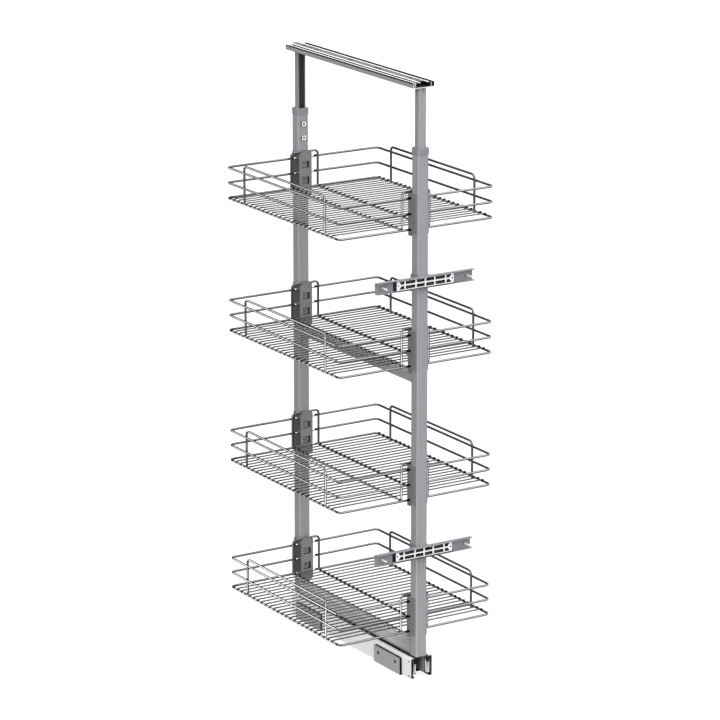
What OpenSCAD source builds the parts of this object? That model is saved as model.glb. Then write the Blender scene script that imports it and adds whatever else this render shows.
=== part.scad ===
// Pull-out larder unit: a telescopic frame that rolls out of a tall cabinet
// on two ball slides at the floor and one at the ceiling, with four wire
// baskets clipped on its two columns and two brackets for the cabinet door.
// Millimetres. +Z up, Z 0 is the cabinet floor. X 0 is the middle of the
// unit and Y 0 the middle of its depth. The unit pulls out towards -Y.

/* [Frame] */
// Outside distance from floor to the top of the lower columns
column_top = 1160; // [1140:5:1200]
// Column width, across the cabinet
column_w = 27; // [26:0.5:28]
// Column depth, front to back
column_d = 25; // [24:0.5:26]
// Wall of the column tube
column_wall = 2; // [1.5:0.1:2]
// Free distance between the two columns
column_gap = 460; // [460:1:470]
// Underside of the columns and of the bottom beam above the floor
beam_z = 48; // [48:0.5:50]
// Height of the bottom beam
beam_h = 29; // [20:1:30]
// Underside of the cross bar above the floor
bar_z = 662; // [655:1:662]
// Height of the cross bar
bar_h = 20; // [10:1:20]
// How far the upper channels stand out of the columns
extension = 141; // [120:1:200]

/* [Baskets] */
// Basket width between the middles of its wires
basket_w = 386; // [300:2:460]
// Basket depth between the middles of its wires
basket_d = 461; // [461:1:461]
// Height of the lowest basket floor frame above the cabinet floor
basket_z = 102; // [102:1:110]
// Distance from one basket to the next
basket_pitch = 298; // [290:1:298]
// Thickness of the rim wires
wire_d = 5; // [4:0.1:5]
// Thickness of the floor wires
floor_wire_d = 3; // [2:0.1:3]
// Number of floor wires in a basket
floor_wires = 25; // [15:1:25]
// Corner radius of the rims
rim_r = 10; // [8:1:30]

/* [Slides] */
// Length of the slides at the floor
slide_len = 500; // [450:10:500]
// Height of a slide at the floor
slide_h = 45; // [45:0.5:46]
// Length of the ceiling slide
rail_len = 516; // [500:2:530]
// Width of the ceiling slide
rail_w = 52; // [50:1:56]

/* [Door brackets] */
// Length of a door bracket channel
channel_len = 244; // [200:2:300]
// Height of a door bracket channel
channel_h = 25; // [25:0.5:26]
// Middle height of the upper door bracket
upper_bracket_z = 888; // [884:1:890]
// Middle height of the lower door bracket
lower_bracket_z = 290; // [288:1:294]

/* [Hidden] */
WF = 36;                          // facets of a wire
yi = column_gap/2;                // inner face of a column
yo = yi + column_d;               // outer face of a column
cw = column_w/2;
hx = basket_w/2;
hy = basket_d/2;
wr = wire_d/2;
fr = floor_wire_d/2;
cradle_y = hy - wire_d - 0.1;     // plane of the cradle's end loops
cradle_x = 34;
loop_h = 81.5;                    // top of the loops and of the side hoops
hoop_y = 166;
floor_z = wr + fr + 0.04;         // floor wires lie on the floor frame
floor_y0 = hy - 13.5;
floor_pitch = 17.5;
rim_2 = 34;
rim_3 = 68;
rail_z = column_top + extension + 1;   // underside of the ceiling slide
ch_y0 = yi + 5.5;                 // upper channel, inner side
ch_y1 = yi + 20.5;                // upper channel, outer side
ch_x = 9.5;
ch_len = 380;
sl_y0 = -slide_len/2 - 6;         // front end of the floor slides
sl_z0 = 2;
foot_y = [-198, -130, 130, 198];  // screws that hold a slide in its feet
door_y = yo + 2.4;                // back of a door channel

// ---------- helpers ----------
module xrod(x0, x1, y, z, d, f = WF) translate([x0, y, z]) rotate([0, 90, 0]) cylinder(d = d, h = x1 - x0, $fn = f);
module yrod(x, y0, y1, z, d, f = WF) translate([x, y1, z]) rotate([90, 0, 0]) cylinder(d = d, h = y1 - y0, $fn = f);
module zrod(x, y, z0, z1, d, f = WF) translate([x, y, z0]) cylinder(d = d, h = z1 - z0, $fn = f);
// quarter bend in the XY plane about (cx, cy), starting at angle a
module bend_xy(cx, cy, z, r, a, d) translate([cx, cy, z]) rotate([0, 0, a]) rotate_extrude(angle = 90, $fn = WF) translate([r, 0]) circle(d = d, $fn = WF);
// quarter bend in the YZ plane, angle measured from +Y towards +Z
module bend_yz(x, cy, cz, r, a, d) translate([x, cy, cz]) rotate([a, 0, 0]) rotate([0, 90, 0]) rotate([0, 0, 90]) rotate_extrude(angle = 90, $fn = WF) translate([r, 0]) circle(d = d, $fn = WF);
// quarter bend in the XZ plane, angle measured from +X towards +Z
module bend_xz(cx, y, cz, r, a, d) translate([cx, y, cz]) rotate([0, -a, 0]) rotate([90, 0, 0]) rotate_extrude(angle = 90, $fn = WF) translate([r, 0]) circle(d = d, $fn = WF);
module box(x0, x1, y0, y1, z0, z1) translate([x0, y0, z0]) cube([x1 - x0, y1 - y0, z1 - z0]);
// a box with its four upright edges rounded
module rbox(x0, x1, y0, y1, z0, z1, r) {
  box(x0 + r, x1 - r, y0, y1, z0, z1);
  box(x0, x1, y0 + r, y1 - r, z0, z1);
  for (x = [x0 + r, x1 - r], y = [y0 + r, y1 - r]) translate([x, y, z0]) cylinder(r = r, h = z1 - z0, $fn = 48);
}
// a box given for +X, drawn on the side s
module sbox(s, x0, x1, y0, y1, z0, z1) box(s > 0 ? x0 : -x1, s > 0 ? x1 : -x0, y0, y1, z0, z1);
module flip_y(on) { if (on) mirror([0, 1, 0]) children(); else children(); }
module flip_x(on) { if (on) mirror([1, 0, 0]) children(); else children(); }
// pan head screw along +X from x = 0, head below 0
module screw_x(d, l, hd, hh) { rotate([0, 90, 0]) cylinder(d = d, h = l, $fn = 24); translate([-hh, 0, 0]) rotate([0, 90, 0]) difference() { cylinder(d = hd, h = hh, $fn = 32); translate([0, 0, -0.1]) cylinder(d = d*0.62, h = hh*0.6, $fn = 6); } }

// C section 1.3 mm thick along Y: its back at x1 on the side s, open towards x0
module rolled(s, x0, x1, y0, y1, z0, z1, r) difference() {
  union() {
    sbox(s, x0, x1 - r, y0, y1, z0, z1);
    sbox(s, x0, x1, y0, y1, z0 + r, z1 - r);
    for (z = [z0 + r, z1 - r]) yrod(s*(x1 - r), y0, y1, z, 2*r, 48);
  }
  sbox(s, x0 - 1, x1 - 1.3, y0 - 1, y1 + 1, z0 + 1.3, z1 - 1.3);
}

// ---------- floor slides ----------
// section of the cabinet member: back at x = 26.4, open towards the middle
module outer_slide(s) color([0.9, 0.9, 0.89]) difference() {
  union() {
    rolled(s, 18.6, 26.4, sl_y0, sl_y0 + slide_len, sl_z0, sl_z0 + slide_h, 2);
    sbox(s, 18.6, 19.6, sl_y0, sl_y0 + slide_len, sl_z0 + slide_h - 2.6, sl_z0 + slide_h);
    sbox(s, 18.6, 19.6, sl_y0, sl_y0 + slide_len, sl_z0, sl_z0 + 2.6);
  }
  for (y = foot_y) translate([s*20, y, 24.5]) rotate([0, 90, 0]) cylinder(d = 4.3, h = 14, center = true, $fn = 32);
  // small holes that hold the bumper
  for (z = [5.6, 39]) translate([s*26, sl_y0 + 9, z]) rotate([0, 90, 0]) cylinder(d = 2.8, h = 4, center = true, $fn = 32);
}
module middle_slide(s) color([0.82, 0.82, 0.81]) difference() {
  rolled(s, 16.4, 21.9, sl_y0 + 3, sl_y0 + slide_len - 3, 7.4, 41.6, 1.8);
  for (y = [-200, 0, 200]) translate([s*20, y, 24.5]) rotate([0, 90, 0]) cylinder(d = 8, h = 14, center = true, $fn = 32);
}
module inner_slide(s) color([0.82, 0.82, 0.81]) difference() {
  rolled(-s, -18.4, -13, sl_y0 + 3, sl_y0 + slide_len - 3, 12.4, 36.6, 1.8);
  for (y = [-210, -70, 70, 210]) translate([s*14, y, 24.5]) rotate([0, 90, 0]) cylinder(d = 4.3, h = 8, center = true, $fn = 32);
}
// two strips with their balls, one above and one below; the strips are drawn
// beside the middles of the balls, which sit in their holes
cage_l = slide_len/2 - 10;        // the strip stays between its rails at full pull-out
module cage(s, x0, x1, z0, z1, xb, zb, db, dh) {
  n = 7;
  ym = sl_y0 + slide_len/2;
  difference() {
    sbox(s, x0, x1, ym - cage_l/2, ym + cage_l/2, z0, z1);
    for (i = [0:n-1]) translate([s*xb, ym + (i - (n - 1)/2)*36, zb]) cylinder(d = dh, h = 6, center = true, $fn = 32);
  }
  for (i = [0:n-1]) translate([s*xb, ym + (i - (n - 1)/2)*36, zb]) sphere(d = db, $fn = 20);
}
module outer_cages() color([0.72, 0.73, 0.72]) for (s = [-1, 1]) {
  cage(s, 19.8, 24.5, 44.7, 45.4, 21.4, 44.05, 2.8, 2.8);
  cage(s, 19.8, 24.5, 3.6, 4.3, 21.4, 4.95, 2.8, 2.8);
}
module inner_cages() color([0.72, 0.73, 0.72]) for (s = [-1, 1]) {
  cage(s, 15.1, 20.2, 39.2, 39.9, 17.3, 38.45, 3, 2.9);
  cage(s, 15.1, 20.2, 9.1, 9.8, 17.3, 10.55, 3, 2.9);
}
// U shaped steel foot under both slides; its upright sides carry them
module base_bracket(rear) flip_y(rear) color([0.6, 0.6, 0.62]) difference() {
  union() {
    box(-31.5, 31.5, -218.5, -112.5, 0, 1.7);
    for (s = [-1, 1]) {
      sbox(s, 26.7, 31.5, -218.5, -112.5, 0, 35);
      sbox(s, 26.7, 31.5, -214.5, -116.5, 34, 39);
      for (y = [-214.5, -116.5]) xrod(s > 0 ? 26.7 : -31.5, s > 0 ? 31.5 : -26.7, y, 35, 8, 48);
    }
  }
  for (s = [-1, 1], y = [-198, -130]) {
    translate([s*29, y, 24.5]) rotate([0, 90, 0]) cylinder(d = 4.4, h = 14, center = true, $fn = 32);
    translate([s*31.6, y, 24.5]) rotate([0, 90, 0]) cylinder(d = 8.2, h = 5.4, center = true, $fn = 32);
  }
  for (x = [-7, 7], y = [-205, -125]) translate([x, y, -1]) cylinder(d = 5.5, h = 5, $fn = 32);
}
module base_screws() color([0.35, 0.35, 0.36]) for (s = [-1, 1], y = foot_y)
  flip_x(s > 0) translate([-28.95, y, 24.5]) screw_x(3.9, 4.8, 7.4, 2.2);

// ---------- carrier between the slides ----------
module carrier() color([0.5, 0.51, 0.52]) difference() {
  union() {
    box(-12.9, 12.9, sl_y0 + 6, sl_y0 + slide_len - 6, 45.9, 47.9);
    for (s = [-1, 1]) sbox(s, 10.9, 12.9, sl_y0 + 6, sl_y0 + slide_len - 6, 8, 46.2);
  }
  for (s = [-1, 1], y = [-210, -70, 70, 210]) translate([s*12, y, 24.5]) rotate([0, 90, 0]) cylinder(d = 4.3, h = 8, center = true, $fn = 32);
  for (y = [-180, 0, 180]) translate([0, y, 45]) cylinder(d = 5.4, h = 4, $fn = 32);
}
module carrier_screws() color([0.7, 0.7, 0.72]) {
  for (s = [-1, 1], y = [-210, -70, 70, 210]) flip_x(s < 0) translate([10.8, y, 24.5]) screw_x(4, 4.6, 7, 2);
  for (y = [-180, 0, 180]) translate([0, y, 45.8]) { cylinder(d = 5, h = 4, $fn = 24); translate([0, 0, -3]) difference() { cylinder(d = 9, h = 3, $fn = 32); translate([0, 0, -0.1]) cylinder(d = 3.2, h = 1.8, $fn = 6); } }
}
// black plastic bumpers on the front ends of the outer members
module bumpers() color([0.06, 0.06, 0.06]) for (s = [-1, 1]) {
  sbox(s, 18.7, 24.9, sl_y0 - 2, sl_y0 - 0.05, 42.2, 45.4);
  sbox(s, 20.2, 24.9, sl_y0 - 2, sl_y0 - 0.05, 2.4, 5.6);
  sbox(s, 22.7, 24.9, sl_y0 - 2, sl_y0 - 0.05, 5.5, 42.3);
}
// black plastic stops on the front ends of the inner members
module inner_stops() color([0.06, 0.06, 0.06]) for (s = [-1, 1]) sbox(s, 13.2, 18.3, sl_y0 - 2, sl_y0 + 2.9, 34, 44.6);

// ---------- frame ----------
// rectangular tube along Y with rounded edges
module tube_y(x, y0, y1, z0, z1, w, r = 2.5) difference() {
  union() {
    box(-x, x, y0, y1, z0 + r, z1 - r);
    box(-x + r, x - r, y0, y1, z0, z1);
    for (e = [-1, 1], z = [z0 + r, z1 - r]) yrod(e*(x - r), y0, y1, z, 2*r, 48);
  }
  box(-x + w, x - w, y0 - 1, y1 + 1, z0 + w, z1 - w);
}
module beam() color([0.62, 0.63, 0.64]) difference() {
  tube_y(cw, -yi + 0.05, yi - 0.05, beam_z, beam_z + beam_h, 1.5);
  for (y = [-180, 0, 180]) translate([0, y, beam_z - 1]) cylinder(d = 5.4, h = 4, $fn = 32);
}
module bar() color([0.62, 0.63, 0.64]) tube_y(cw, -yi + 0.05, yi - 0.05, bar_z, bar_z + bar_h, 1.5);
module column(rear) flip_y(!rear) color([0.65, 0.66, 0.67]) difference() {
  rbox(-cw, cw, yi, yo, beam_z, column_top, 3);
  box(-cw + column_wall, cw - column_wall, yi + column_wall, yo - column_wall, beam_z - 1, column_top + 1);
  for (z = [column_top - 52, column_top - 21]) translate([0, yi + 2, z]) rotate([90, 0, 0]) cylinder(d = 6.4, h = 8, center = true, $fn = 32);
}
module collar() {
  difference() {
    union() {
      rbox(-cw - 1.2, cw + 1.2, yi - 1.2, yo + 1.2, column_top + 0.05, column_top + 13, 4.2);
      box(-cw + 2.2, cw - 2.2, yi + 2.2, yo - 2.2, column_top - 60, column_top + 1);
    }
    box(-ch_x - 0.4, ch_x + 0.4, ch_y0 - 0.4, ch_y1 + 0.4, column_top - 61, column_top + 14);
    for (z = [column_top - 52, column_top - 21]) translate([0, yi + 4, z]) rotate([90, 0, 0]) cylinder(d = 6.6, h = 8, center = true, $fn = 32);
  }
}
module collars() color([0.58, 0.59, 0.6]) for (r = [false, true]) flip_y(r) collar();
module clamp_screw() { rotate([-90, 0, 0]) cylinder(d = 6, h = 14.8, $fn = 24); translate([0, -3.2, 0]) rotate([-90, 0, 0]) difference() { cylinder(d = 11, h = 3.2, $fn = 32); translate([0, 0, -0.1]) cylinder(d = 4.6, h = 2, $fn = 6); } }
// screws through the column that press a plate against the upper channel
module height_clamps() color([0.85, 0.85, 0.86]) for (r = [false, true]) flip_y(r) {
  for (z = [column_top - 52, column_top - 21]) translate([0, yi - 0.05, z]) clamp_screw();
  box(-6.8, 6.8, yi + 14.9, ch_y1 - 2.4, column_top - 62, column_top - 11);
}

// ---------- telescopic top ----------
module upper_channel(rear) flip_y(!rear) color([0.66, 0.67, 0.68]) difference() {
  union() {
    box(-ch_x, ch_x, ch_y0, ch_y1 - 2.5, rail_z - 1 - ch_len, rail_z);
    rbox(-ch_x, ch_x, ch_y0, ch_y1, rail_z - 1 - ch_len, rail_z, 2.5);
  }
  box(-ch_x + 2, ch_x - 2, ch_y0 - 1, ch_y1 - 2, rail_z - 2 - ch_len, rail_z - 2);
  translate([0, (ch_y0 + ch_y1)/2 - 1, rail_z - 4]) cylinder(d = 5.2, h = 6, $fn = 32);
  // slits near the top, one in each face
  box(-11, 11, ch_y1 - 9.6, ch_y1 - 8, rail_z - 12, rail_z - 5);
  box(1.2, 2.8, ch_y1 - 4, ch_y1 + 1, rail_z - 10, rail_z - 3.5);
}
ry0 = -rail_len/2 + 2;
ry1 = rail_len/2 + 2;
rw = rail_w/2;
// lower member, open upwards, riveted on the upper channels
module top_frame_rail() color([0.62, 0.62, 0.64]) difference() {
  union() {
    box(-rw, rw, ry0, ry1, rail_z + 2, rail_z + 11);
    box(-rw + 2, rw - 2, ry0, ry1, rail_z, rail_z + 11);
    for (s = [-1, 1]) yrod(s*(rw - 2), ry0, ry1, rail_z + 2, 4, 48);
  }
  box(-rw + 1.5, rw - 1.5, ry0 - 1, ry1 + 1, rail_z + 1.5, rail_z + 12);
  for (s = [-1, 1]) translate([0, s*((ch_y0 + ch_y1)/2 - 1), rail_z - 1]) cylinder(d = 5.2, h = 4, $fn = 32);
}
module top_rivets() color([0.7, 0.7, 0.72]) for (s = [-1, 1]) translate([0, s*((ch_y0 + ch_y1)/2 - 1), rail_z - 4.5]) { cylinder(d = 4.8, h = 6, $fn = 24); cylinder(d = 9, h = 2.4, $fn = 32); }
// middle member: the same shape, narrower, its edges turned inwards
module top_middle_rail() color([0.7, 0.7, 0.71]) {
  box(-rw + 6, rw - 6, ry0 + 3, ry1 - 3, rail_z + 2.1, rail_z + 3.3);
  for (s = [-1, 1]) {
    sbox(s, rw - 7.4, rw - 6, ry0 + 3, ry1 - 3, rail_z + 2.1, rail_z + 10.2);
    sbox(s, rw - 9.6, rw - 7.3, ry0 + 3, ry1 - 3, rail_z + 9.3, rail_z + 10.2);
  }
}
// member screwed under the top of the cabinet, open downwards
rail_holes = [-230, -205, -85, -70, 35, 172, 195, 225];
module top_cabinet_rail() color([0.72, 0.72, 0.74]) difference() {
  union() {
    box(-12, 12, ry0, ry1 - 4, rail_z + 10.4, rail_z + 12);
    translate([0, ry1 - 4, rail_z + 10.4]) cylinder(r = 12, h = 1.6, $fn = 64);
    for (s = [-1, 1]) sbox(s, 10.5, 12, ry0, ry1 - 4, rail_z + 4.6, rail_z + 11);
  }
  for (y = rail_holes) translate([0, y, rail_z + 9]) cylinder(d = 4.5, h = 5, $fn = 32);
  // rounded notch in its front end
  translate([0, ry0 + 7, rail_z + 9]) cylinder(r = 9, h = 5, $fn = 48);
  box(-9, 9, ry0 - 1, ry0 + 7, rail_z + 9, rail_z + 14);
}
module top_cage(s, x0, x1, z0, z1, xb, zb, db, dh) {
  n = 7;
  difference() {
    sbox(s, x0, x1, (ry0 + ry1)/2 - rail_len/4 + 6, (ry0 + ry1)/2 + rail_len/4 - 6, z0, z1);
    for (i = [0:n-1]) translate([s*xb, (ry0 + ry1)/2 + (i - (n - 1)/2)*36, zb]) cylinder(d = dh, h = 8, center = true, $fn = 32);
  }
  for (i = [0:n-1]) translate([s*xb, (ry0 + ry1)/2 + (i - (n - 1)/2)*36, zb]) sphere(d = db, $fn = 20);
}
module top_outer_cages() color([0.05, 0.05, 0.05]) for (s = [-1, 1]) top_cage(s, rw - 5.6, rw - 1.9, rail_z + 7.5, rail_z + 9.8, rw - 3.75, rail_z + 6, 4, 3);
module top_inner_cages() color([0.1, 0.1, 0.1]) for (s = [-1, 1]) top_cage(s, 12.5, rw - 7.9, rail_z + 8.2, rail_z + 9, (12 + rw - 7.4)/2, rail_z + 6.3, 5.4, 4.3);

// ---------- door brackets ----------
// clamp: a saddle of sheet that hugs the column, fixed by a screw in each side
module door_clamp(z) translate([0, 0, z]) difference() {
  rbox(-cw - 1.6, cw + 1.6, -yo - 2.2, -yi + 1.6, -12.4, 12.4, 1.5);
  box(-cw - 0.1, cw + 0.1, -yo - 0.1, -yi + 0.1, -14, 14);
  box(-9, 9, -yi - 1, -yi + 3, -14, 14);
  for (s = [-1, 1]) translate([s*12, -yo + 1, s*5.1]) rotate([90, 0, 0]) cylinder(d = 3.4, h = 8, $fn = 32);
  translate([0, -yi - 12.5, 0]) rotate([0, 90, 0]) cylinder(d = 4.2, h = 40, center = true, $fn = 32);
}
module door_clamps() color([0.48, 0.48, 0.5]) for (z = [upper_bracket_z, lower_bracket_z]) door_clamp(z);
// socket head bolt along -Y, its head above 0
module bolt_y(d, l, hd, hh) { rotate([90, 0, 0]) cylinder(d = d, h = l, $fn = 24); rotate([-90, 0, 0]) difference() { cylinder(d = hd, h = hh, $fn = 24); translate([0, 0, hh*0.4]) cylinder(d = hd*0.5, h = hh, $fn = 6); } }
module door_bolts() color([0.3, 0.3, 0.31]) for (z = [upper_bracket_z, lower_bracket_z], s = [-1, 1]) {
  flip_x(s > 0) translate([-cw - 1.65, -yi - 12.5, z]) screw_x(4, 1.6, 7, 2);
  translate([s*12, -door_y - 3.05, z + s*5.1]) rotate([0, 0, 180]) bolt_y(3, 5.2, 5.4, 1.8);
}
// C channel screwed to the door, open towards it
module door_channel(z) color([0.5, 0.48, 0.52]) difference() {
  union() {
    box(-channel_len/2, channel_len/2, -door_y - 11, -door_y - 2, z - channel_h/2, z + channel_h/2);
    box(-channel_len/2, channel_len/2, -door_y - 11, -door_y, z - channel_h/2 + 2, z + channel_h/2 - 2);
    for (s = [-1, 1]) xrod(-channel_len/2, channel_len/2, -door_y - 2, z + s*(channel_h/2 - 2), 4, 48);
  }
  box(-channel_len/2 - 1, channel_len/2 + 1, -door_y - 12, -door_y - 1.5, z - channel_h/2 + 1.5, z + channel_h/2 - 1.5);
  for (s = [-1, 1]) translate([s*screw_x0, -door_y - 3, z]) rotate([-90, 0, 0]) cylinder(d = 4.6, h = 8, $fn = 32);
  // slots along which the channel shifts sideways
  for (s = [-1, 1]) {
    for (e = [-1, 1]) translate([s*12 + e*10.2, -door_y + 5, z + s*5.1]) rotate([90, 0, 0]) cylinder(d = 3.8, h = 12, $fn = 32);
    box(s*12 - 10.2, s*12 + 10.2, -door_y - 5, -door_y + 5, z + s*5.1 - 1.9, z + s*5.1 + 1.9);
  }
}
screw_x0 = 106;                   // door screws, from the middle
ins_ribs = [-51, -23.5, 0, 23.5, 51];
// die cast adjusting plate inside the channel: a frame with ribs and two rows of cells
module door_insert(z) translate([0, -door_y - 1.7, z]) difference() {
  box(-71.5, 71.5, -5.2, 0, -10.7, 10.7);
  for (i = [0:5], r = [-1, 1]) {
    x0 = (i == 0 ? -64.5 : ins_ribs[i-1] + 1.7);
    x1 = (i == 5 ? 64.5 : ins_ribs[i] - 1.7);
    difference() {
      box(x0, x1, -6, -1.3, r > 0 ? 1.5 : -8.7, r > 0 ? 8.7 : -1.5);
      if (i == 0 || i == 5) translate([(i == 0 ? -1 : 1)*67, 1, 0]) rotate([90, 0, 0]) cylinder(d = 13, h = 8, $fn = 32);
    }
  }
  for (s = [-1, 1]) translate([s*67.6, 1, 0]) rotate([90, 0, 0]) cylinder(d = 3.6, h = 8, $fn = 32);
  for (s = [-1, 1]) translate([s*12, 1, s*5.1]) rotate([90, 0, 0]) cylinder(d = 3.4, h = 3, $fn = 32);
}
module door_inserts() color([0.86, 0.87, 0.88]) for (z = [upper_bracket_z, lower_bracket_z]) door_insert(z);
// wood screws that hold the door: heads behind the channel, points forward
module door_screws(z) color([0.8, 0.8, 0.78]) for (s = [-1, 1]) translate([s*screw_x0, -door_y + 0.05, z]) {
  rotate([90, 0, 0]) cylinder(d = 4.4, h = 1.7, $fn = 24);
  translate([0, -1.6, 0]) rotate([90, 0, 0]) cylinder(d = 4, h = 19.4, $fn = 24);
  translate([0, -21, 0]) rotate([90, 0, 0]) cylinder(d1 = 4, d2 = 0.6, h = 4, $fn = 24);
  rotate([-90, 0, 0]) difference() { cylinder(d = 8, h = 2.6, $fn = 32); translate([0, 0, 1.1]) cylinder(d = 3, h = 2, $fn = 6); }
}

// ---------- baskets ----------
// one half of a rim, bent round the side s of the basket; its ends rest in the clips
module half_rim(s, z) {
  x0 = 14.2;
  x1 = hx - rim_r;
  for (e = [-1, 1]) {
    xrod(s > 0 ? x0 : -x1, s > 0 ? x1 : -x0, e*hy, z, wire_d);
    bend_xy(s*x1, e*(hy - rim_r), z, rim_r, s > 0 ? (e > 0 ? 0 : 270) : (e > 0 ? 90 : 180), wire_d);
  }
  yrod(s*hx, -hy + rim_r, hy - rim_r, z, wire_d);
}
// upside down U welded inside the side of the basket
module hoop(s) {
  x = s*(hx - wire_d - 0.1);
  r = 9;
  for (e = [-1, 1]) zrod(x, e*hoop_y, -1.5, loop_h - r, wire_d);
  yrod(x, -hoop_y + r, hoop_y - r, loop_h, wire_d);
  bend_yz(x, hoop_y - r, loop_h - r, r, 0, wire_d);
  bend_yz(x, -hoop_y + r, loop_h - r, r, 90, wire_d);
}
module rims(k) color([0.75, 0.75, 0.76]) translate([0, 0, basket_z + basket_pitch*(4 - k)]) for (s = [-1, 1]) {
  for (z = [0, rim_2, rim_3]) half_rim(s, z);
  hoop(s);
}
module floor_grid(k) color([0.75, 0.75, 0.76]) translate([0, 0, basket_z + basket_pitch*(4 - k)]) for (i = [0:floor_wires - 1]) {
  y = floor_y0 - floor_pitch*i;
  // a wire that meets a hoop leg ends on it
  l = abs(abs(y) - hoop_y) < wr + fr + 0.2 ? hx - 2*wire_d + 2.3 - 0.1 : hx;
  xrod(-l, l, y, floor_z, floor_wire_d, WF);
}
// the wire that carries the basket: two rods under its floor, bent up at both ends into loops
module cradle(k) color([0.75, 0.75, 0.76]) translate([0, 0, basket_z + basket_pitch*(4 - k)]) {
  rb = 6;
  rt = 8;
  for (s = [-1, 1]) {
    yrod(s*cradle_x, -cradle_y + rb, cradle_y - rb, 0, wire_d);
    for (e = [-1, 1]) {
      bend_yz(s*cradle_x, e*(cradle_y - rb), rb, rb, e > 0 ? 270 : 180, wire_d);
      zrod(s*cradle_x, e*cradle_y, rb, loop_h - rt, wire_d);
      bend_xz(s*(cradle_x - rt), e*cradle_y, loop_h - rt, rt, s > 0 ? 0 : 90, wire_d);
    }
  }
  for (e = [-1, 1]) xrod(-cradle_x + rt, cradle_x - rt, e*cradle_y, loop_h, wire_d);
}
// clip on a column: holds the rim ends in its sides and the loop in its seat
module clip(k, rear) color([0.42, 0.43, 0.44]) translate([0, 0, basket_z + basket_pitch*(4 - k)]) flip_y(!rear) difference() {
  union() {
    box(-15.75, 15.75, cradle_y - wr - 2.3, yi - 0.3, -14, 78.9);
    for (s = [-1, 1]) {
      sbox(s, cw + 0.3, 15.75, yi - 0.4, yi + 11.2, -7, 78.9);
      sbox(s, cw + 0.3, 15.1, yi + 11, yi + 12.6, -7, 78.9);
      sbox(s, cw + 0.3, 15.75, yi + 12.4, yi + 22, -7, 78.9);
    }
    box(-10.5, 10.5, cradle_y - wr - 2.3, cradle_y - wr - 0.2, 78, 84);
    box(-10.5, 10.5, cradle_y + wr + 0.2, yi - 0.3, 78, 84);
    box(-9, 9, cradle_y - wr - 9, cradle_y - wr - 2, -14, -11);
  }
  for (z = [[9.3, 25.6], [45.2, 60.2]]) box(-9.3, 9.3, cradle_y - wr - 3, cradle_y - wr + 2.6, z[0], z[1]);
  for (s = [-1, 1], z = [0, rim_2, rim_3]) translate([s*(cw + 0.4), hy, z]) rotate([0, s*90, 0]) cylinder(d = wire_d + 0.5, h = 5, $fn = 32);
  translate([0, yi, 17.4]) rotate([90, 0, 0]) cylinder(d = 5.2, h = 30, center = true, $fn = 32);
}
// set screws that fix the clips on the columns
module clip_screws(k) color([0.3, 0.3, 0.3]) translate([0, 0, basket_z + basket_pitch*(4 - k)]) for (r = [false, true]) flip_y(!r)
  translate([0, cradle_y - wr + 1.2, 17.4]) rotate([-90, 0, 0]) difference() { cylinder(d = 5, h = yi - 0.05 - (cradle_y - wr + 1.2), $fn = 24); translate([0, 0, -0.1]) cylinder(d = 2.9, h = 2.6, $fn = 6); }

outer_slide(-1);  // outer_slide_left
outer_slide(1);  // outer_slide_right
base_bracket(false);  // front_base_bracket
base_bracket(true);  // rear_base_bracket
base_screws();  // base_bracket_screws
bumpers();  // slide_bumpers
middle_slide(-1);  // middle_slide_left
middle_slide(1);  // middle_slide_right
outer_cages();  // outer_ball_cages
inner_cages();  // inner_ball_cages
inner_slide(-1);  // inner_slide_left
inner_slide(1);  // inner_slide_right
carrier();  // slide_carrier
carrier_screws();  // slide_carrier_screws
inner_stops();  // inner_slide_stops
beam();  // bottom_beam
column(false);  // front_column
column(true);  // rear_column
bar();  // cross_bar
collars();  // guide_collars
height_clamps();
door_clamps();  // door_bracket_clamps
door_bolts();  // door_bracket_bolts
door_inserts();  // door_bracket_inserts
door_channel(upper_bracket_z);  // upper_door_channel
door_channel(lower_bracket_z);  // lower_door_channel
door_screws(upper_bracket_z);  // upper_door_screws
door_screws(lower_bracket_z);  // lower_door_screws
upper_channel(false);  // front_upper_channel
upper_channel(true);  // rear_upper_channel
top_frame_rail();
top_rivets();  // top_rail_rivets
top_middle_rail();
top_cabinet_rail();
top_outer_cages();
top_inner_cages();
rims(1);  // basket_1_rims
floor_grid(1);  // basket_1_floor
cradle(1);  // basket_1_cradle
clip(1, false);  // basket_1_front_clip
clip(1, true);  // basket_1_rear_clip
clip_screws(1);  // basket_1_screws
rims(2);  // basket_2_rims
floor_grid(2);  // basket_2_floor
cradle(2);  // basket_2_cradle
clip(2, false);  // basket_2_front_clip
clip(2, true);  // basket_2_rear_clip
clip_screws(2);  // basket_2_screws
rims(3);  // basket_3_rims
floor_grid(3);  // basket_3_floor
cradle(3);  // basket_3_cradle
clip(3, false);  // basket_3_front_clip
clip(3, true);  // basket_3_rear_clip
clip_screws(3);  // basket_3_screws
rims(4);  // basket_4_rims
floor_grid(4);  // basket_4_floor
cradle(4);  // basket_4_cradle
clip(4, false);  // basket_4_front_clip
clip(4, true);  // basket_4_rear_clip
clip_screws(4);  // basket_4_screws
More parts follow.
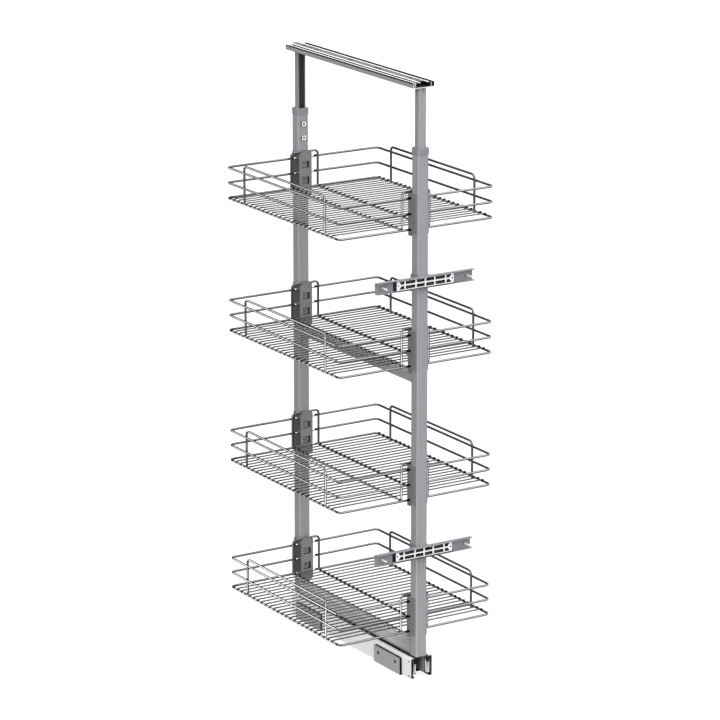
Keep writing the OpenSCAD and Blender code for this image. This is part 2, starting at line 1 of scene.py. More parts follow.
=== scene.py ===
import bpy
import math
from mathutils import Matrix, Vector

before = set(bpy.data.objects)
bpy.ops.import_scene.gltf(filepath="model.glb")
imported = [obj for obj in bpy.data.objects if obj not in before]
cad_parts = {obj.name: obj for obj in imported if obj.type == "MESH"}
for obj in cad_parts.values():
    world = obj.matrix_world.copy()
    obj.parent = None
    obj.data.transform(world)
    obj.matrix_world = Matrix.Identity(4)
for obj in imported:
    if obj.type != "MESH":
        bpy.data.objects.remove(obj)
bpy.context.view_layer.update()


# ------------------------------------------------------------------ materials
class Mat:
    """A Principled material whose colour, roughness and bump are built up in steps."""

    def __init__(self, name, base, rough, metal=0.0, spec=0.5):
        m = bpy.data.materials.new(name)
        m.use_nodes = True
        self.m = m
        self.nt = m.node_tree
        self.b = next(n for n in self.nt.nodes if n.type == "BSDF_PRINCIPLED")
        self.b.inputs["Base Color"].default_value = (*base, 1)
        self.b.inputs["Roughness"].default_value = rough
        self.b.inputs["Metallic"].default_value = metal
        self.b.inputs["Specular IOR Level"].default_value = spec
        self.tc = self.nt.nodes.new("ShaderNodeTexCoord")
        self.pos = self.tc.outputs["Object"]
        self.col = base
        self.rough = rough
        self._xyz = self._nrm = None

    def link(self, a, b):
        self.nt.links.new(a, b)

    def noise(self, scale, detail=4.0, rough=0.55, stretch=(1, 1, 1), distort=0.0):
        mp = self.nt.nodes.new("ShaderNodeMapping")
        mp.inputs["Scale"].default_value = stretch
        self.link(self.pos, mp.inputs["Vector"])
        n = self.nt.nodes.new("ShaderNodeTexNoise")
        n.inputs["Scale"].default_value = scale
        n.inputs["Detail"].default_value = detail
        n.inputs["Roughness"].default_value = rough
        n.inputs["Distortion"].default_value = distort
        self.link(mp.outputs["Vector"], n.inputs["Vector"])
        return n.outputs["Fac"]

    def span(self, v, a, b, lo=0.35, hi=0.65):
        r = self.nt.nodes.new("ShaderNodeMapRange")
        r.inputs["From Min"].default_value = lo
        r.inputs["From Max"].default_value = hi
        r.inputs["To Min"].default_value = a
        r.inputs["To Max"].default_value = b
        self.link(v, r.inputs["Value"])
        return r.outputs["Result"]

    def calc(self, op, a, b=0.0):
        n = self.nt.nodes.new("ShaderNodeMath")
        n.operation = op
        for i, v in enumerate((a, b)):
            if isinstance(v, (int, float)):
                n.inputs[i].default_value = v
            else:
                self.link(v, n.inputs[i])
        return n.outputs[0]

    def split(self, socket):
        n = self.nt.nodes.new("ShaderNodeSeparateXYZ")
        self.link(socket, n.inputs[0])
        return n.outputs

    def at(self, axis, size=False):
        """Place on the object along an axis, in metres; its size without sign if asked."""
        if self._xyz is None:
            self._xyz = self.split(self.pos)
        v = self._xyz["XYZ".index(axis)]
        return self.calc("ABSOLUTE", v) if size else v

    def facing(self, axis, size=False):
        """How far the surface faces along an axis of the object."""
        if self._nrm is None:
            self._nrm = self.split(self.tc.outputs["Normal"])
        v = self._nrm["XYZ".index(axis)]
        return self.calc("ABSOLUTE", v) if size else v

    def apart(self, a, b):
        """Distance from a line: two axes with the line's place on each."""
        u, v = (self.calc("SUBTRACT", self.at(axis), place) for axis, place in (a, b))
        return self.calc("SQRT", self.calc("ADD", self.calc("MULTIPLY", u, u), self.calc("MULTIPLY", v, v)))

    def over(self, v, edge, soft=0.0002):
        """1 where v is above edge."""
        return self.span(v, 0.0, 1.0, edge - soft, edge + soft)

    def under(self, v, edge, soft=0.0002):
        return self.span(v, 1.0, 0.0, edge - soft, edge + soft)

    def both(self, *masks):
        out = masks[0]
        for m in masks[1:]:
            out = self.calc("MULTIPLY", out, m)
        return out

    def mix(self, fac, a, b):
        n = self.nt.nodes.new("ShaderNodeMix")
        n.data_type = "RGBA"
        for key, v in ((0, fac), (6, a), (7, b)):
            if isinstance(v, bpy.types.NodeSocket):
                self.link(v, n.inputs[key])
            else:
                n.inputs[key].default_value = v if key == 0 else (*v, 1)
        return n.outputs[2]

    def lay(self, mask, colour, grain=0.06):
        """Lays a second colour over the first where the mask is 1."""
        v = self.noise(300, 2, 0.5)
        c = self.mix(self.span(v, 0.0, 1.0), tuple(x * (1 - grain) for x in colour), tuple(min(1, x * (1 + grain)) for x in colour))
        self.col = self.mix(mask, self.col, c)
        return self

    def tint(self, fac, colour):
        self.col = self.mix(fac, self.col, colour)
        return self

    def bump(self, socket, strength, dist):
        n = self.nt.nodes.new("ShaderNodeBump")
        n.inputs["Strength"].default_value = strength
        n.inputs["Distance"].default_value = dist
        self.link(socket, n.inputs["Height"])
        self.link(n.outputs["Normal"], self.b.inputs["Normal"])
        return self

    def done(self):
        for v, key in ((self.col, "Base Color"), (self.rough, "Roughness")):
            if isinstance(v, bpy.types.NodeSocket):
                self.link(v, self.b.inputs[key])
        return self.m


def shade(c, k):
    return tuple(min(1.0, x * k) for x in c)


def painted(name, base, rough=0.42, metal=0.0, fleck=0.07, peel=0.15, spec=0.45, lines=0.0):
    """Powder coat: orange peel, fine metallic fleck, slow drift in tone, light handling marks."""
    m = Mat(name, base, rough, metal, spec)
    fine = m.noise(900, 3, 0.6)
    slow = m.noise(9, 3, 0.5)
    marks = m.noise(26, 5, 0.65, stretch=(1, 1, 0.25), distort=0.6)
    m.col = m.mix(m.span(fine, 0, 1), shade(base, 1 - fleck), shade(base, 1 + fleck))
    m.tint(m.span(slow, 0.0, 0.4, 0.4, 0.7), shade(base, 0.93))
    m.tint(m.span(marks, 0.0, 0.3, 0.6, 0.72), shade(base, 1.12))
    if lines:
        draw = m.noise(330, 3, 0.6, stretch=(1, 1, 0.015))
        m.tint(m.span(draw, 0.0, 1.0, 0.35, 0.65), shade(base, 1 - lines))
    m.rough = m.span(slow, rough - 0.05, rough + 0.06)
    m.bump(m.noise(650, 2, 0.5), peel, 0.0002)
    return m


def zinc(name, base, rough=0.3, metal=1.0, streaks=0.1):
    """Rolled zinc sheet: lengthwise streaks and faint crystalline mottling."""
    m = Mat(name, base, rough, metal)
    streak = m.noise(60, 6, 0.6, stretch=(20, 0.6, 20))
    mottle = m.noise(140, 2, 0.4)
    m.col = m.mix(m.span(streak, 0, 1, 0.3, 0.7), shade(base, 1 - streaks), base)
    m.tint(m.span(mottle, 0, 0.25), shade(base, 1.06))
    m.rough = m.span(streak, rough - 0.06, rough + 0.1)
    m.bump(streak, 0.06, 0.0002)
    return m


def plastic(name, base, rough=0.45, grain=1400, depth=0.2, spec=0.5):
    """Moulded plastic with a fine spark-eroded grain."""
    m = Mat(name, base, rough, 0.0, spec=spec)
    slow = m.noise(30, 3, 0.5)
    m.col = m.mix(m.span(slow, 0, 1, 0.3, 0.7), shade(base, 0.93), shade(base, 1.06))
    m.rough = m.span(slow, rough - 0.05, rough + 0.08)
    m.bump(m.noise(grain, 2, 0.5), depth, 0.00015)
    return m


def chrome(name, base, rough=0.12):
    """Plated wire: bright, with slight drawing marks and cloudy patches."""
    m = Mat(name, base, rough, 1.0)
    cloud = m.noise(22, 4, 0.5)
    fine = m.noise(500, 3, 0.6)
    m.col = m.mix(m.span(cloud, 0, 1, 0.3, 0.7), shade(base, 0.9), base)
    m.rough = m.span(fine, rough - 0.03, rough + 0.05)
    m.bump(m.noise(260, 2, 0.4), 0.04, 0.0001)
    return m


GREY = (0.37, 0.375, 0.39)
WHITE = (0.9, 0.9, 0.89)
DARK = (0.008, 0.008, 0.009)


def upper_channel():
    """Painted shade: the open inner side of the channel is painted dark, a little lighter towards -X, and its flanks
    facing X are painted a little darker.
    """
    m = painted("upper_channel_coat", GREY, 0.4, 0.3, lines=0.12)
    inside = m.both(m.under(m.at("X", True), 0.0077), m.under(m.at("Y", True), 0.2487))
    run = m.span(m.at("X"), 1.0, 0.0, -0.0077, 0.004)
    m.tint(m.over(m.facing("X", True), 0.6, 0.1), (0.32, 0.322, 0.336))
    m.lay(inside, (0.12, 0.12, 0.13))
    m.tint(m.both(inside, run), (0.21, 0.21, 0.22))
    return m.done()


def foot():
    """Grey coated sides; the narrow faces, the floor web and the bores are black."""
    m = painted("foot_coat", (0.32, 0.32, 0.333), 0.55, spec=0.04)
    side = m.both(m.over(m.at("X", True), 0.0313), m.over(m.facing("X", True), 0.7, 0.1),
                  m.under(m.at("Z"), 0.0382), m.over(m.at("Y"), -0.2172))
    m.lay(m.calc("SUBTRACT", 1.0, side), DARK)
    return m.done()


def carrier():
    """Nearly black as painted shade for the gap under the beam; inside both of its ends it is painted grey, fading
    with depth, as painted light falling in.
    """
    m = painted("carrier_painted_shade_coat", (0.025, 0.025, 0.027), 0.5, spec=0.15)
    inside = m.both(m.under(m.at("X", True), 0.0111), m.over(m.facing("X", True), 0.7, 0.1))
    near = m.span(m.at("Y", True), 0.0, 1.0, 0.216, 0.250)
    m.tint(m.both(inside, near), (0.30, 0.30, 0.31))
    return m.done()


def foot_screw():
    """Coated like the feet, with a dark disc painted on its head as the shade of its socket."""
    m = painted("foot_screw", (0.3, 0.3, 0.312), 0.55, spec=0.04)
    socket = None
    for y in (-0.198, -0.130, 0.130, 0.198):
        hole = m.under(m.apart(("Y", y), ("Z", 0.0245)), 0.0034, 0.0003)
        socket = hole if socket is None else m.calc("MAXIMUM", socket, hole)
    m.lay(socket, DARK)
    return m.done()


def beam():
    """Coated like the columns; painted lighter low down, away from its front end, as painted light, and painted shade
    along the lower edge of its sides.
    """
    m = painted("beam_coat", GREY, 0.4, 0.3)
    m.tint(m.both(m.under(m.at("Z"), 0.1), m.over(m.at("Y"), -0.19, 0.03)), (0.56, 0.565, 0.58))
    shade_z = m.span(m.at("Z"), 1.0, 0.0, 0.0475, 0.0565)
    m.tint(m.both(m.under(m.at("Z"), 0.1), m.over(m.facing("X", True), 0.7, 0.1), shade_z), (0.13, 0.13, 0.135))
    return m.done()


def outer_slide():
    """Bright zinc with a dotted ball track along the inner edge of its top. Painted shade: the inner walls are painted
    dark grey and the inner bottom lip near black; the end faces are painted near black.
    """
    m = zinc("slide_sheet", (0.74, 0.74, 0.73), 0.45, 0.0, 0.03)
    m.b.inputs["Specular IOR Level"].default_value = 0.4
    run = m.calc("PINGPONG", m.at("Y"), 0.0025)
    dots = m.both(m.over(run, 0.0012), m.under(m.at("X", True), 0.0222), m.over(m.at("Z"), 0.0455))
    m.lay(dots, (0.3, 0.3, 0.3))
    inner = m.both(m.under(m.at("X", True), 0.0252), m.under(m.at("Z"), 0.0458), m.over(m.at("Z"), 0.0058))
    m.lay(inner, (0.16, 0.16, 0.16))
    lip = m.both(m.under(m.at("X", True), 0.0252), m.under(m.at("Z"), 0.0058))
    m.lay(lip, DARK)
    for z in (0.0056, 0.039):
        dot = m.both(m.under(m.apart(("Y", -0.247), ("Z", z)), 0.0024, 0.0003), m.over(m.at("X", True), 0.0245))
        m.lay(dot, (0.09, 0.09, 0.09))
    m.lay(m.over(m.facing("Y", True), 0.7, 0.1), (0.015, 0.015, 0.015))
    return m.done()


def top_lower_rail():
    """Coated outside and white on its end faces; painted shade: near black inside and along the upper edges, dark grey
    on the inner faces that look up.
    """
    m = painted("rail_coat", (0.31, 0.312, 0.32), 0.42, 0.1, spec=0.35)
    m.lay(m.over(m.facing("Y", True), 0.8, 0.1), WHITE)
    inside = m.both(m.under(m.at("X", True), 0.0247), m.over(m.at("Z"), 1.3033))
    edge = m.both(m.over(m.at("Z"), 1.3108), m.under(m.facing("Y", True), 0.7, 0.1))
    m.lay(m.calc("MAXIMUM", inside, edge), DARK)
    m.lay(m.both(m.under(m.at("X", True), 0.0245), m.over(m.facing("Z"), 0.7, 0.1)), (0.10, 0.10, 0.105))
    return m.done()


def top_upper_rail():
    """Grey band with white painted highlights on its rolled edges; painted shade underneath and round its screw holes.
    """
    m = zinc("ceiling_rail_sheet", (0.160, 0.160, 0.168), 0.55, 0.0)
    m.b.inputs["Specular IOR Level"].default_value = 0.08
    m.lay(m.over(m.at("X", True), 0.0088), WHITE)
    low = m.under(m.at("Z"), 1.3132)
    m.lay(low, DARK)
    # painted shade: dark discs, larger than the holes, round each screw hole
    holes = None
    for y in (-230, -205, -85, -70, 35, 172, 195, 225):
        ring = m.under(m.apart(("X", 0.0), ("Y", y / 1000)), 0.0048, 0.0003)
        holes = ring if holes is None else m.calc("MAXIMUM", holes, ring)
    m.lay(holes, (0.02, 0.02, 0.02))
    return m.done()


def bright_rail():
    """Painted light and shade: bright on the top of its left half and on its ends, painted dark on its sides, below
    and on the right half of its top.
    """
    m = zinc("middle_rail_sheet", (0.93, 0.93, 0.92), 0.36, 0.1, 0.04)
    lit = m.both(m.over(m.facing("Z"), 0.7, 0.1), m.over(m.at("Z"), 1.3118), m.under(m.at("X"), 0.0))
    ends = m.both(m.over(m.facing("Y", True), 0.7, 0.1), m.over(m.at("X", True), 0.0184))
    lit = m.calc("MAXIMUM", lit, ends)
    m.lay(m.calc("SUBTRACT", 1.0, lit), DARK)
    return m.done()


def insert():
    """Die cast ribs, bright; the cells between them are painted dark and their walls near black, as painted shade."""
    m = zinc("die_cast", (0.88, 0.89, 0.90), 0.36, 0.1, 0.03)
    deep = m.over(m.at("Y"), -0.2639, 0.0001)
    wall = m.under(m.facing("Y", True), 0.5, 0.1)
    m.lay(m.both(deep, m.under(m.at("Y"), -0.2592)), (0.03, 0.032, 0.03))
    m.lay(m.both(deep, wall, m.under(m.at("X", True), 0.0712)), (0.006, 0.006, 0.006))
    return m.done()


def door_channel():
    """Coated channel; shade falls on it beside and under the bright plate."""
    m = painted("door_channel_coat", (0.25, 0.238, 0.262), 0.42, spec=0.35)
    web = m.both(m.under(m.at("Y"), -0.2571), m.over(m.at("Y"), -0.2595))
    left = m.both(web, m.under(m.at("X"), -0.0714), m.over(m.at("X"), -0.0775))
    m.lay(left, (0.012, 0.012, 0.014))
    for z in (0.888, 0.290):
        foot_line = m.both(m.over(m.at("Z"), z - 0.0119), m.under(m.at("Z"), z - 0.0106),
                           m.under(m.at("X", True), 0.0725))
        m.lay(foot_line, DARK)
    return m.done()


def clip():
    """Moulded clip; its flanks and the walls of its recesses are in deep shade."""
    m = plastic("clip_plastic", (0.19, 0.193, 0.2), 0.42)
    flank = m.both(m.over(m.facing("X", True), 0.7, 0.1), m.over(m.at("X", True), 0.0125))
    m.lay(flank, (0.075, 0.075, 0.08))
    m.lay(m.both(flank, m.under(m.at("Y"), 0.0)), (0.18, 0.182, 0.187))
    deep = m.both(m.over(m.at("Y", True), 0.2209), m.under(m.at("Y", True), 0.2258))
    wall = m.both(m.under(m.facing("Y", True), 0.5, 0.1), m.under(m.at("X", True), 0.0094))
    m.lay(m.both(deep, wall), DARK)
    # shade on the floors of the recesses, along their upper and right edges
    level = m.calc("MODULO", m.calc("SUBTRACT", m.at("Z"), 0.102 - 0.298), 0.298)
    top = m.calc("MAXIMUM", m.both(m.over(level, 0.0236), m.under(level, 0.0257)),
                 m.both(m.over(level, 0.0582), m.under(level, 0.0603)))
    rows = m.calc("MAXIMUM", m.both(m.over(level, 0.0092), m.under(level, 0.0257)),
                  m.both(m.over(level, 0.0451), m.under(level, 0.0603)))
    right = m.both(rows, m.over(m.at("X"), 0.0078))
    floor = m.both(deep, m.under(m.at("X", True), 0.0094))
    m.lay(m.both(floor, m.calc("MAXIMUM", top, right)), (0.02, 0.02, 0.02))
    return m.done()


WIRE = (0.185, 0.185, 0.188)
PITCH = 0.0175


def weld_and_shade_marks(m, half):
    """Dark marks at each place where a floor wire is welded on a wire along Y: weld colour with painted contact shade.
    """
    run = m.calc("PINGPONG", m.calc("SUBTRACT", m.at("Y"), 0.217), PITCH / 2)
    return m.under(run, half, 0.0006)


def bright_core(m, mask, upright):
    """Painted highlight: a wire gets a white core, not metallic, between two thin grey edges of painted shade."""
    core = m.both(mask, m.over(m.facing("Z"), 0.10, 0.08), m.under(m.facing("Z"), 0.60, 0.08))
    wide = m.both(mask, m.over(m.facing("Z"), 0.04, 0.08), m.under(m.facing("Z"), 0.70, 0.08))
    core = m.calc("MAXIMUM", core, m.both(wide, m.under(m.at("Z"), 0.35, 0.02)))
    edge = m.both(m.calc("MAXIMUM", mask, upright), m.calc("SUBTRACT", 1.0, core))
    tall = upright_core(m, upright)
    core = m.calc("MAXIMUM", core, tall)
    edge = m.both(edge, m.calc("SUBTRACT", 1.0, tall))
    m.lay(core, (0.90, 0.90, 0.89), 0.02)
    m.lay(m.both(core, m.over(m.at("Z"), 0.9, 0.02)), (0.7, 0.7, 0.7))
    m.lay(edge, (0.07, 0.07, 0.072))
    metal = m.calc("SUBTRACT", 1.0, core)
    m.link(metal, m.b.inputs["Metallic"])


def upright_core(m, mask):
    """The same painted highlight on an upright wire, on its side towards the front left."""
    way = m.calc("ADD", m.calc("MULTIPLY", m.facing("X"), -0.543), m.calc("MULTIPLY", m.facing("Y"), -0.84))
    return m.both(mask, m.over(way, 0.9, 0.04), m.under(m.facing("Z", True), 0.25, 0.1))


def frame_wire():
    m = chrome("chrome_wire", WIRE, 0.12)
    run = m.both(m.under(m.facing("Y", True), 0.3, 0.1), m.under(m.at("Y", True), 0.2195))
    left = m.both(m.under(m.at("X"), -0.1852), run)
    legs = m.both(m.under(m.at("Y", True), 0.1690), m.over(m.at("Y", True), 0.1630), m.under(m.at("X", True), 0.1906))
    leg = m.both(m.under(m.at("X"), -0.1852), m.under(m.at("Y"), -0.1630), m.over(m.at("Y"), -0.1690),
                 m.over(m.at("X"), -0.1906), m.under(m.facing("Z", True), 0.25, 0.1))
    # painted highlight: a white core between thin dark edges on the left side wires along Y, away from the legs, and
    # on the left front leg
    bright_core(m, m.both(left, m.calc("SUBTRACT", 1.0, legs)), leg)
    # painted highlight: a lighter grey band on the upper front of the front wires along X
    front = m.both(m.under(m.at("Y"), -0.2195), m.under(m.facing("X", True), 0.3, 0.1), m.under(m.facing("Y"), 0.0),
                   m.under(m.at("X", True), 0.187))
    front_painted_highlight = m.both(front, m.over(m.facing("Z"), 0.12, 0.1), m.under(m.facing("Z"), 0.5, 0.1))
    m.lay(front_painted_highlight, (0.42, 0.42, 0.42), 0.02)
    low = None
    for k in range(4):
        z = 0.102 + 0.298 * k
        band = m.both(m.over(m.at("Z"), z - 0.004), m.under(m.at("Z"), z + 0.004))
        low = band if low is None else m.calc("MAXIMUM", low, band)
    # weld colour with painted contact shade: near-black marks where floor wires meet the side wires at each floor
    # level
    right = m.both(m.over(m.at("X"), 0.1895), weld_and_shade_marks(m, 0.0022))
    # painted highlight: the left side wires along Y are painted pale below their tops at each floor level
    pale = m.both(m.under(m.at("X"), -0.1905), low, run, m.under(m.facing("Z"), 0.35, 0.1))
    m.lay(pale, (0.85, 0.85, 0.85))
    left = m.both(m.under(m.at("X"), -0.1905), weld_and_shade_marks(m, 0.0046), m.over(m.facing("Z"), 0.1, 0.1))
    m.lay(m.both(m.calc("MAXIMUM", left, right), low), (0.006, 0.006, 0.006))
    # the wire ends: painted highlight where they enter a rear clip, with a dark ring of painted shade before it; the
    # ends at the front clips are painted dark as painted shade
    near = m.both(m.over(m.at("Y", True), 0.2275), m.under(m.facing("X", True), 0.5, 0.1))
    rear = m.both(near, m.over(m.at("Y"), 0.0))
    front = m.both(near, m.under(m.at("Y"), 0.0))
    m.lay(m.both(rear, m.over(m.at("X", True), 0.0255), m.under(m.at("X", True), 0.0345)), (0.008, 0.008, 0.008))
    m.lay(m.both(rear, m.under(m.at("X", True), 0.0250), m.over(m.facing("Z"), -0.1)), (0.95, 0.95, 0.95))
    m.lay(m.both(front, m.under(m.at("X", True), 0.0255)), (0.008, 0.008, 0.008))
    return m.done()


def cradle_wire():
    m = chrome("cradle_wire", WIRE, 0.12)
    run = m.both(m.under(m.facing("Y", True), 0.3, 0.1), m.under(m.at("Y", True), 0.2195))
    left = m.both(m.under(m.at("X"), 0.0), run)
    tall = m.both(m.under(m.at("Y"), -0.2225), m.under(m.facing("Z", True), 0.25, 0.1), m.over(m.at("X", True), 0.031))
    # painted highlight: a white core between thin dark edges on the left rods and on the front upright ends
    bright_core(m, left, tall)
    right = m.both(m.over(m.at("X"), 0.0), run)
    m.lay(right, (0.32, 0.32, 0.32), 0.02)
    # weld colour with painted contact shade at each crossing on the right rods
    m.lay(m.both(right, weld_and_shade_marks(m, 0.0030)), (0.008, 0.008, 0.008))
    return m.done()


def floor_wire():
    """Thinner wire, duller, lighter in the top basket; its ends are painted near black, cut ends with painted contact
    shade where they meet the frame, and dark spots where it is welded, weld colour with painted contact shade.
    """
    m = chrome("floor_wire", (0.112, 0.112, 0.115), 0.18)
    m.tint(m.over(m.at("Z"), 0.98, 0.02), (0.19, 0.19, 0.195))
    ends = m.calc("MAXIMUM", m.over(m.at("X", True), 0.1872), m.under(m.at("X"), -0.1845))
    spot = m.under(m.calc("ABSOLUTE", m.calc("SUBTRACT", m.at("X", True), 0.034)), 0.0034, 0.0006)
    m.lay(m.calc("MAXIMUM", ends, spot), (0.006, 0.006, 0.006))
    return m.done()


def head_screw():
    """Bright screws; a dark disc on each head is painted shade of its socket, and their faces not facing along Y are
    painted near black.
    """
    m = zinc("bright_screw", (0.95, 0.95, 0.94), 0.25, 0.1)
    out = None
    for z in (1.108, 1.139):
        hole = m.under(m.apart(("X", 0.0), ("Z", z)), 0.0024)
        out = hole if out is None else m.calc("MAXIMUM", out, hole)
    m.lay(m.both(out, m.over(m.at("Y", True), 0.2262)), DARK)
    m.lay(m.under(m.facing("Y", True), 0.4, 0.1), (0.03, 0.03, 0.03))
    return m.done()


def door_screw():
    m = zinc("door_screw", (0.8, 0.8, 0.79), 0.35, 0.2)
    # painted shade: the screw is painted near black at its root, behind the front of the channel
    m.lay(m.over(m.at("Y"), -0.2603), (0.02, 0.02, 0.02))
    return m.done()


M = {
    "column": painted("silver_grey_coat", GREY, 0.4, 0.3, lines=0.12).done(),
    "beam": beam(),
    "foot_screw": foot_screw(),
    "upper": upper_channel(),
    "feet": foot(),
    "carrier": carrier(),
    "channel": door_channel(),
    "clamp": painted("clamp_coat", (0.20, 0.19, 0.21), 0.45).done(),
    "zinc": zinc("zinc_sheet", (0.93, 0.93, 0.92), 0.34, 0.1, 0.06).done(),
    "slide": outer_slide(),
    "lower_rail": top_lower_rail(),
    "upper_rail": top_upper_rail(),
    "middle_rail": bright_rail(),
    "die": insert(),
    "bolt": zinc("bright_bolt", (0.86, 0.85, 0.83), 0.28, 0.4).done(),
    "head_screw": head_screw(),
    "door_screw": door_screw(),
    "black_bolt": zinc("dark_screw", (0.05, 0.05, 0.055), 0.35).done(),
    "clip_screw": zinc("grey_screw", (0.2, 0.2, 0.205), 0.4, 0.2).done(),
    "clip": clip(),
    "collar": plastic("collar_plastic", (0.235, 0.24, 0.25), 0.42).done(),
    "black": plastic("black_plastic", (0.008, 0.008, 0.009), 0.55, spec=0.2).done(),
    "wire": frame_wire(),
    "cradle": cradle_wire(),
    "floor_wire": floor_wire(),
}

USE = {
    "outer_slide_left": "slide", "outer_slide_right": "slide",
    "front_base_bracket": "feet", "rear_base_bracket": "feet",
    "base_bracket_screws": "foot_screw", "slide_bumpers": "black",
    "middle_slide_left": "zinc", "middle_slide_right": "zinc",
    "outer_ball_cages": "zinc", "inner_ball_cages": "zinc",
    "inner_slide_left": "zinc", "inner_slide_right": "zinc",
    "inner_slide_stops": "black", "slide_carrier": "carrier",
    "slide_carrier_screws": "bolt", "bottom_beam": "beam",
    "front_column": "column", "rear_column": "column", "cross_bar": "beam",
    "guide_collars": "collar", "height_clamps": "head_screw",
    "door_bracket_clamps": "clamp", "door_bracket_bolts": "black_bolt",
    "door_bracket_inserts": "die", "upper_door_channel": "channel",
    "lower_door_channel": "channel", "upper_door_screws": "door_screw",
    "lower_door_screws": "door_screw", "front_upper_channel": "upper",
    "rear_upper_channel": "upper", "top_frame_rail": "lower_rail",
    "top_rail_rivets": "bolt", "top_middle_rail": "middle_rail",
    "top_cabinet_rail": "upper_rail", "top_outer_cages": "black",
    "top_inner_cages": "black",
}
for k in range(1, 5):
    USE["basket_%d_rims" % k] = "wire"
    USE["basket_%d_floor" % k] = "floor_wire"
    USE["basket_%d_cradle" % k] = "cradle"
    USE["basket_%d_front_clip" % k] = "clip"
    USE["basket_%d_rear_clip" % k] = "clip"
    USE["basket_%d_screws" % k] = "clip_screw"


def dress(node, key):
    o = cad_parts[node]
    o.data.materials.clear()
    o.data.materials.append(M[key])


for node, key in USE.items():
    dress(node, key)

# ------------------------------------------------------------- floor, lights
def plain(name, base, rough):
    m = bpy.data.materials.new(name)
    m.use_nodes = True
    b = next(n for n in m.node_tree.nodes if n.type == "BSDF_PRINCIPLED")
    b.inputs["Base Color"].default_value = (*base, 1)
    b.inputs["Roughness"].default_value = rough
    b.inputs["Specular IOR Level"].default_value = 0.0
    return m


def floor_sheet():
    """A wide pale floor."""
    me = bpy.data.meshes.new("floor")
    s = 60.0
    me.from_pydata([(-s, -s, 0), (s, -s, 0), (s, s, 0), (-s, s, 0)], [], [(0, 1, 2, 3)])
    o = bpy.data.objects.new("floor", me)
    bpy.context.scene.collection.objects.link(o)
    m = plain("floor_paper", (0.2, 0.2, 0.2), 0.9)
    b = next(n for n in m.node_tree.nodes if n.type == "BSDF_PRINCIPLED")
    b.inputs["Emission Color"].default_value = (1, 1, 1, 1)
    b.inputs["Emission Strength"].default_value = 0.84
    me.materials.append(m)
    return o


floor = floor_sheet()
floor.location = (0, 0, -0.0005)
# the studio around the unit is what its bright metal mirrors, below as well
floor.visible_glossy = False
floor.visible_diffuse = False


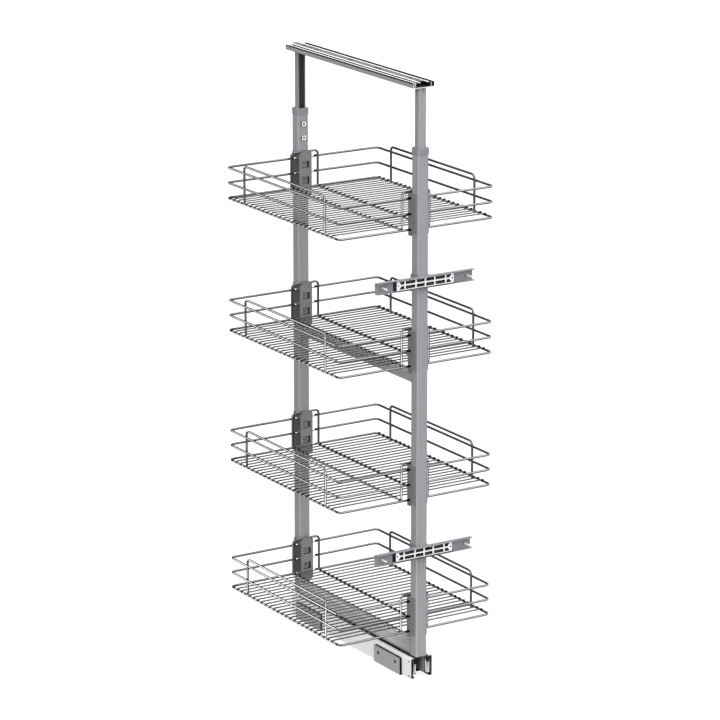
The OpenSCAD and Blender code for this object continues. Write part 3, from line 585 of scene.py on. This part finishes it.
def studio():
    """Soft light from above, dimmer walls: brighter to the front right, dark behind."""
    world = bpy.data.worlds.new("studio")
    bpy.context.scene.world = world
    world.use_nodes = True
    nt = world.node_tree
    bg = nt.nodes["Background"]
    tc = nt.nodes.new("ShaderNodeTexCoord")
    sep = nt.nodes.new("ShaderNodeSeparateXYZ")
    nt.links.new(tc.outputs["Generated"], sep.inputs[0])

    def math_node(op, a, b=None, clamp=False):
        n = nt.nodes.new("ShaderNodeMath")
        n.operation = op
        n.use_clamp = clamp
        for i, v in enumerate((a, b)):
            if v is None:
                continue
            if isinstance(v, (int, float)):
                n.inputs[i].default_value = v
            else:
                nt.links.new(v, n.inputs[i])
        return n.outputs[0]

    def smooth(v, a, b, lo, hi):
        n = nt.nodes.new("ShaderNodeMapRange")
        n.interpolation_type = "SMOOTHSTEP"
        n.inputs["From Min"].default_value = a
        n.inputs["From Max"].default_value = b
        n.inputs["To Min"].default_value = lo
        n.inputs["To Max"].default_value = hi
        nt.links.new(v, n.inputs["Value"])
        return n.outputs[0]

    def toward(d):
        l = math.sqrt(sum(c * c for c in d))
        t = [math_node("MULTIPLY", sep.outputs[i], d[i] / l) for i in range(3)]
        return math_node("ADD", math_node("ADD", t[0], t[1]), t[2])

    z, y = sep.outputs[2], sep.outputs[1]
    sky = smooth(z, SKY[0], SKY[1], 0.0, SKY[2])
    wall = smooth(toward((0.6, -0.8, 0.0)), -0.8, 0.9, WALL[0], WALL[1])
    low = smooth(z, -0.5, -0.15, LOW[0], 0.0)
    up = smooth(z, -0.25, 0.05, 0.0, 1.0)
    total = math_node("ADD", sky, math_node("ADD", math_node("MULTIPLY", wall, up), low))
    dark = smooth(y, 0.45, 0.8, 1.0, BACK[0])
    high = smooth(z, 0.45, 0.75, 0.0, 1.0)
    total = math_node("MULTIPLY", total, math_node("MAXIMUM", dark, high))
    spot = smooth(toward(SPOT[0]), SPOT[1], SPOT[2], 0.0, SPOT[3])
    total = math_node("ADD", total, spot)
    lp = nt.nodes.new("ShaderNodeLightPath")
    seen = math_node("ADD", math_node("MULTIPLY", total, math_node("SUBTRACT", 1.0, lp.outputs["Is Camera Ray"])), lp.outputs["Is Camera Ray"])
    nt.links.new(seen, bg.inputs["Strength"])
    bg.inputs["Color"].default_value = (1, 1, 1, 1)


SKY = (0.15, 0.6, 1.55)
WALL = (0.24, 1.15)
LOW = (0.42,)
BACK = (0.22,)
SPOT = ((-0.78, -0.57, -0.2), 0.84, 0.97, 1.6)
studio()


def panel(name, loc, target, size, power):
    """A soft panel light."""
    l = bpy.data.lights.new(name, "AREA")
    l.shape = "RECTANGLE"
    l.size, l.size_y = size
    l.energy = power
    o = bpy.data.objects.new(name, l)
    bpy.context.scene.collection.objects.link(o)
    o.location = loc
    o.rotation_mode = "QUATERNION"
    o.rotation_quaternion = (Vector(target) - Vector(loc)).to_track_quat("-Z", "Y")
    o.visible_camera = False
    return o


panel("left_panel", (-1.0, 1.1, 0.7), (0.0, 1.1, 0.7), (0.95, 1.8), 2.9)
panel("low_panel", (-0.45, -0.15, 0.03), (0.0, -0.15, 0.03), (0.7, 0.05), 0.5)

# -------------------------------------------------------------------- camera
cam_data = bpy.data.cameras.new("camera")
cam = bpy.data.objects.new("camera", cam_data)
bpy.context.scene.collection.objects.link(cam)
cam_data.sensor_width = 36
cam_data.lens = 36 * 3692.3 / 720
cam_data.clip_start = 0.5
cam_data.clip_end = 200
cam.location = (-4.1131, -6.5706, 2.8171)
az, el = math.radians(-32.0648), math.radians(15.5859)
look = Vector((-math.sin(az) * math.cos(el), math.cos(az) * math.cos(el), -math.sin(el)))
cam.rotation_mode = "QUATERNION"
cam.rotation_quaternion = look.to_track_quat("-Z", "Y")
bpy.context.scene.camera = cam

bpy.context.scene.view_settings.view_transform = "Standard"
